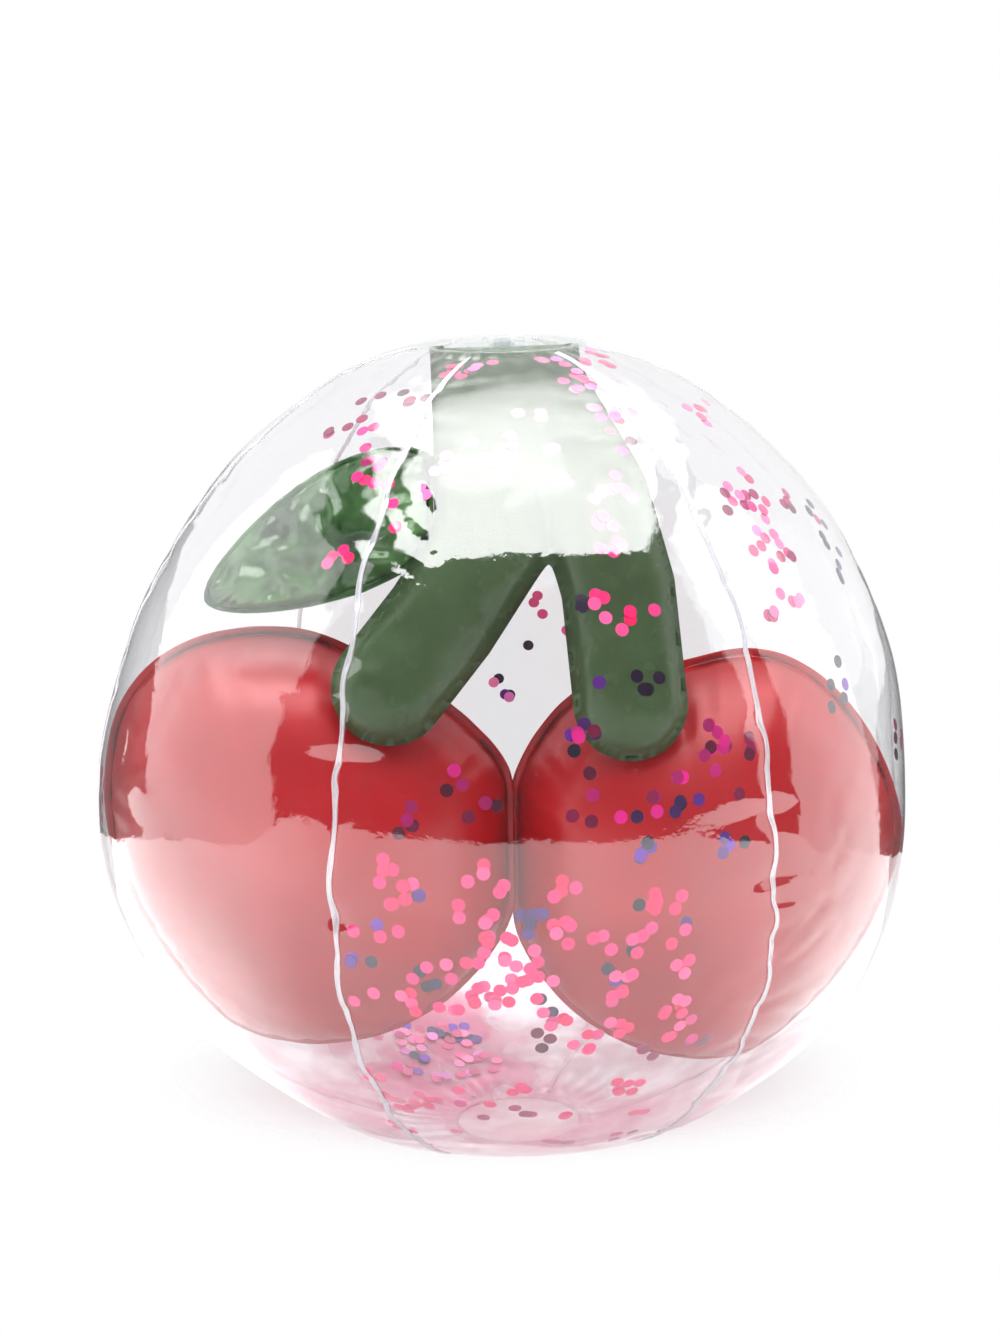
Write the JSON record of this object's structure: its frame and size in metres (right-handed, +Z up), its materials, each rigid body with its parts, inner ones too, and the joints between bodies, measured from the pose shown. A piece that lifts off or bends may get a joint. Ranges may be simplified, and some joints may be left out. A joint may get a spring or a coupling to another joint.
{
  "type": "inflatable beach ball",
  "caption": "Clear inflatable beach ball of lapped film gores with round pole caps, an inflated pair of cherries with stems and a leaf sealed inside, loose foil dots and two push-in valves.",
  "frame": {"origin": "on the floor, under the pole axis, in the middle of the bottom cap's outside", "axes": "+Z up the pole axis from the bottom cap to the top cap, -Y towards the viewer of the picture, +X to that viewer's right"},
  "size_m": [0.35, 0.35, 0.3517],
  "materials": {
    "clear_film": "gloss",
    "cap_film": "gloss",
    "clear_valve": "satin",
    "red_film": "gloss",
    "stem_film": "gloss",
    "leaf_film": "gloss",
    "pink_foil": "metallic gloss",
    "magenta_foil": "metallic gloss",
    "purple_foil": "metallic gloss",
    "rose_foil": "metallic gloss"
  },
  "bodies": {
    "ball": {"clear_gore_1": "clear_film", "clear_gore_2": "clear_film", "clear_gore_3": "clear_film", "clear_gore_4": "clear_film", "clear_gore_5": "clear_film", "clear_gore_6": "clear_film", "top_cap": "cap_film", "bottom_cap": "cap_film", "ball_valve_flange": "clear_valve", "figure_valve_flange": "clear_valve", "cherry_left_front": "red_film", "cherry_left_back": "red_film", "cherry_right_front": "red_film", "cherry_right_back": "red_film", "stems_front": "stem_film", "stems_back": "stem_film", "leaf_front": "leaf_film", "leaf_back": "leaf_film", "foil_dots_pink": "pink_foil", "foil_dots_magenta": "magenta_foil", "foil_dots_purple": "purple_foil", "foil_dots_rose": "rose_foil"},
    "ball_valve_tube": {"ball_valve_tube": "clear_valve", "ball_valve_strap": "clear_valve"},
    "ball_valve_stopper": {"ball_valve_stopper": "clear_valve"},
    "ball_valve_flap": {"ball_valve_flap": "clear_valve"},
    "figure_valve_tube": {"figure_valve_tube": "clear_valve", "figure_valve_strap": "clear_valve"},
    "figure_valve_stopper": {"figure_valve_stopper": "clear_valve"},
    "figure_valve_flap": {"figure_valve_flap": "clear_valve"}
  },
  "joints": [
    {"name": "ball_valve_pull_out", "type": "slide", "parent": "ball", "child": "ball_valve_tube", "axis": [0.5607, 0.4134, -0.7174], "range_m": [0, 0.014]},
    {"name": "ball_valve_stopper_pull", "type": "slide", "parent": "ball_valve_tube", "child": "ball_valve_stopper", "axis": [0.5607, 0.4134, -0.7174], "range_m": [0, 0.009]},
    {"name": "ball_valve_flap_swing", "type": "hinge", "parent": "ball_valve_tube", "child": "ball_valve_flap", "pos_m": [0.09583, 0.0637, 0.06375], "axis": [0.5775, 0.4257, 0.6966], "range_deg": [0, 60]},
    {"name": "figure_valve_pull_out", "type": "slide", "parent": "ball", "child": "figure_valve_tube", "axis": [0, 0, 1], "range_m": [0, 0.014]},
    {"name": "figure_valve_stopper_pull", "type": "slide", "parent": "figure_valve_tube", "child": "figure_valve_stopper", "axis": [0, 0, 1], "range_m": [0, 0.009]},
    {"name": "figure_valve_flap_swing", "type": "hinge", "parent": "figure_valve_tube", "child": "figure_valve_flap", "pos_m": [-0.0056, 0, 0.32695], "axis": [0, 1, 0], "range_deg": [0, 60]}
  ]
}
